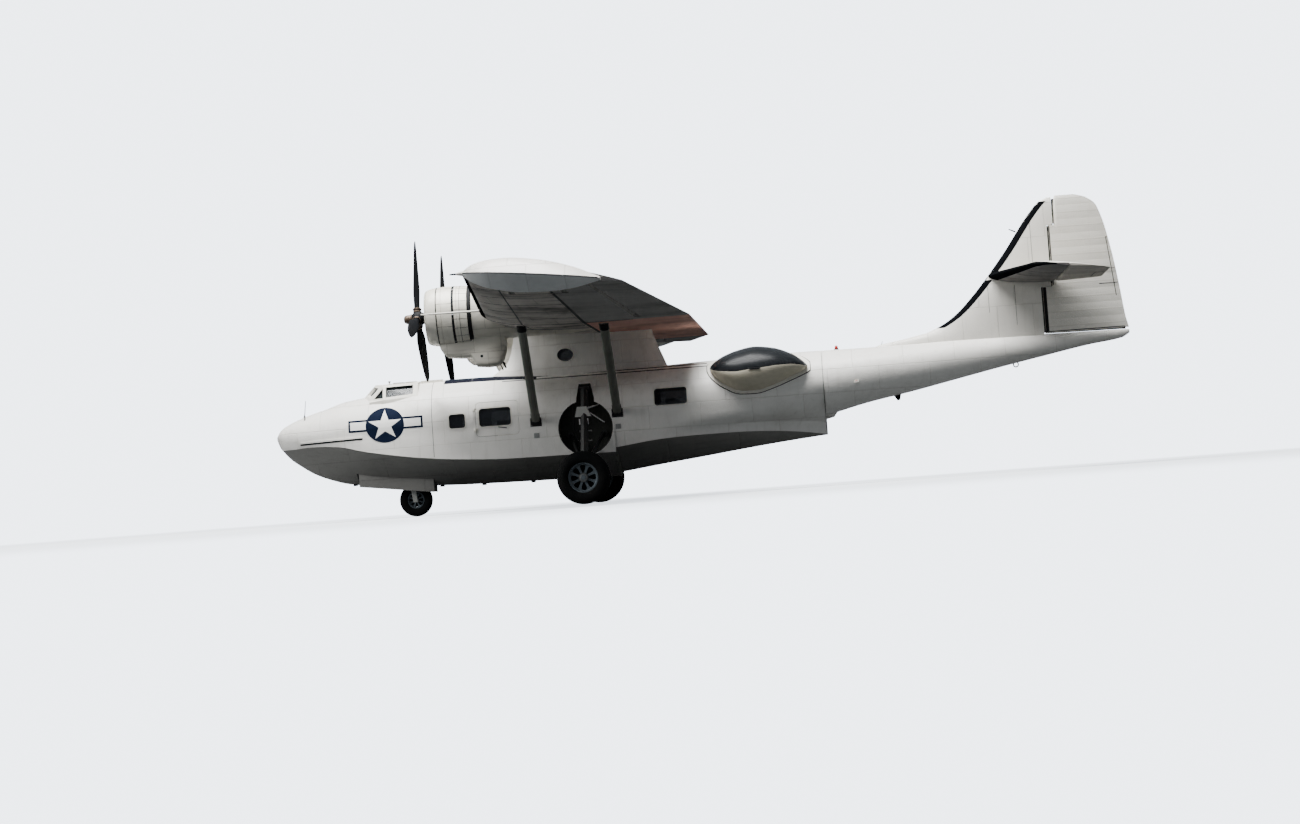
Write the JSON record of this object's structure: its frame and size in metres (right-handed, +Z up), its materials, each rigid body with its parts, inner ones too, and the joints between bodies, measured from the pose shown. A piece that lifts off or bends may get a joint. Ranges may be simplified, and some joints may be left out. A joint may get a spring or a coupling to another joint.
{
  "type": "twin-engined amphibious flying boat",
  "caption": "Parasol-wing amphibious flying boat on its wheels, with a stepped hull, observation blisters, turning propellers, steering nose gear, control surfaces, side hatch and folding wing-tip floats.",
  "frame": {"origin": "on the ground, halfway along the boat on its centre line", "axes": "+X aft, +Y to starboard (the longest extent, wing tip to wing tip), +Z up (the shortest extent)"},
  "size_m": [19.46, 31.7, 6.15],
  "materials": {
    "hull_paint": "weathered satin cream paint on aluminium sheet",
    "window_frame": "satin paint",
    "glass": "tinted clear panels",
    "interior_green": "matt primer",
    "wing_metal": "stained dark grey paint",
    "doped_fabric": "doped fabric over ribs",
    "cowl_paint": "satin cream paint",
    "engine_iron": "oily cast cylinders",
    "propeller_black": "matt black blades, bare metal hub",
    "strut_paint": "satin olive-grey paint",
    "gear_paint": "light grey paint",
    "tyre": "matt rubber",
    "wheel_metal": "satin grey paint",
    "float_paint": "satin cream paint"
  },
  "bodies": {
    "airframe": {"hull_bow": "hull_paint", "hull_midship": "hull_paint", "hull_aft": "hull_paint", "tail_boom": "hull_paint", "fin": "hull_paint", "tailplane_port": "hull_paint", "tailplane_starboard": "hull_paint", "pylon": "hull_paint", "cockpit_frame": "window_frame", "cockpit_glass": "glass", "cockpit_interior": "interior_green", "blister_frame_port": "window_frame", "blister_frame_starboard": "window_frame", "blister_glass_port": "glass", "blister_glass_starboard": "glass", "wing_centre": "wing_metal", "wing_outer_port": "wing_metal", "wing_outer_starboard": "wing_metal", "trailing_edge_centre": "doped_fabric", "trailing_edge_port": "doped_fabric", "trailing_edge_starboard": "doped_fabric", "cowl_port": "cowl_paint", "cowl_starboard": "cowl_paint", "nacelle_port": "cowl_paint", "nacelle_starboard": "cowl_paint", "engine_port": "engine_iron", "engine_starboard": "engine_iron", "strut_front_port": "strut_paint", "strut_front_starboard": "strut_paint", "strut_rear_port": "strut_paint", "strut_rear_starboard": "strut_paint", "main_leg_port": "gear_paint", "main_leg_starboard": "gear_paint", "nose_leg": "gear_paint", "nose_door_port": "hull_paint", "nose_door_starboard": "hull_paint", "pitot_boom": "window_frame"},
    "propeller_port": {"propeller_port": "propeller_black"},
    "propeller_starboard": {"propeller_starboard": "propeller_black"},
    "main_wheel_port": {"tyre_main_port": "tyre", "rim_main_port": "wheel_metal"},
    "main_wheel_starboard": {"tyre_main_starboard": "tyre", "rim_main_starboard": "wheel_metal"},
    "nose_steer": {"nose_fork": "gear_paint"},
    "nose_wheel": {"tyre_nose": "tyre", "rim_nose": "wheel_metal"},
    "rudder": {"rudder": "doped_fabric"},
    "elevator_port": {"elevator_port": "doped_fabric"},
    "elevator_starboard": {"elevator_starboard": "doped_fabric"},
    "aileron_port": {"aileron_port": "doped_fabric"},
    "aileron_starboard": {"aileron_starboard": "doped_fabric"},
    "side_hatch": {"side_hatch": "hull_paint"},
    "float_port": {"float_port": "float_paint", "float_legs_port": "strut_paint"},
    "float_starboard": {"float_starboard": "float_paint", "float_legs_starboard": "strut_paint"}
  },
  "joints": [
    {"name": "propeller_port_spin", "type": "hinge", "parent": "airframe", "child": "propeller_port", "pos_m": [-6.03, -2.6, 4.35], "axis": [1, 0, 0], "continuous": true},
    {"name": "propeller_starboard_spin", "type": "hinge", "parent": "airframe", "child": "propeller_starboard", "pos_m": [-6.03, 2.6, 4.35], "axis": [1, 0, 0], "continuous": true},
    {"name": "main_wheel_port_spin", "type": "hinge", "parent": "airframe", "child": "main_wheel_port", "pos_m": [-2.63, -2.55, 0.58991], "axis": [0, 1, 0], "continuous": true},
    {"name": "main_wheel_starboard_spin", "type": "hinge", "parent": "airframe", "child": "main_wheel_starboard", "pos_m": [-2.63, 2.55, 0.58991], "axis": [0, 1, 0], "continuous": true},
    {"name": "nose_steering", "type": "hinge", "parent": "airframe", "child": "nose_steer", "pos_m": [-6.73, 0, 0.9], "axis": [0, 0, 1], "range_deg": [-30, 30]},
    {"name": "nose_wheel_spin", "type": "hinge", "parent": "nose_steer", "child": "nose_wheel", "pos_m": [-6.66, 0, 0.37675], "axis": [0, 1, 0], "continuous": true},
    {"name": "rudder_hinge", "type": "hinge", "parent": "airframe", "child": "rudder", "pos_m": [8.29, 0, 4.5], "axis": [0, 0, 1], "range_deg": [-20, 20]},
    {"name": "elevator_port_hinge", "type": "hinge", "parent": "airframe", "child": "elevator_port", "pos_m": [8.22, -0.7, 4.31336], "axis": [0, 1, -0.0023], "range_deg": [-25, 20]},
    {"name": "elevator_starboard_hinge", "type": "hinge", "parent": "airframe", "child": "elevator_starboard", "pos_m": [8.22, 0.7, 4.31336], "axis": [0, 1, 0.0023], "range_deg": [-25, 20]},
    {"name": "aileron_port_hinge", "type": "hinge", "parent": "airframe", "child": "aileron_port", "pos_m": [-0.93555, -7, 4.03396], "axis": [0.0539, 0.9983, -0.0241], "range_deg": [-22, 22]},
    {"name": "aileron_starboard_hinge", "type": "hinge", "parent": "airframe", "child": "aileron_starboard", "pos_m": [-0.93555, 7, 4.03396], "axis": [-0.0539, 0.9983, 0.0241], "range_deg": [-22, 22]},
    {"name": "side_hatch_hinge", "type": "hinge", "parent": "airframe", "child": "side_hatch", "pos_m": [-5.03, -1.535, 2.05], "axis": [0, 0, -1], "range_deg": [0, 100]},
    {"name": "float_port_hinge", "type": "hinge", "parent": "airframe", "child": "float_port", "pos_m": [-3.05, -12.75, 4.20159], "axis": [0.9988, 0, -0.0492], "range_deg": [0, 90]},
    {"name": "float_starboard_hinge", "type": "hinge", "parent": "airframe", "child": "float_starboard", "pos_m": [-3.05, 12.75, 4.20159], "axis": [-0.9988, 0, 0.0492], "range_deg": [0, 90]}
  ],
  "couplings": [
    {"joint": "aileron_starboard_hinge", "follows": "aileron_port_hinge", "ratio": -1},
    {"joint": "elevator_starboard_hinge", "follows": "elevator_port_hinge", "ratio": 1},
    {"joint": "float_starboard_hinge", "follows": "float_port_hinge", "ratio": 1}
  ]
}
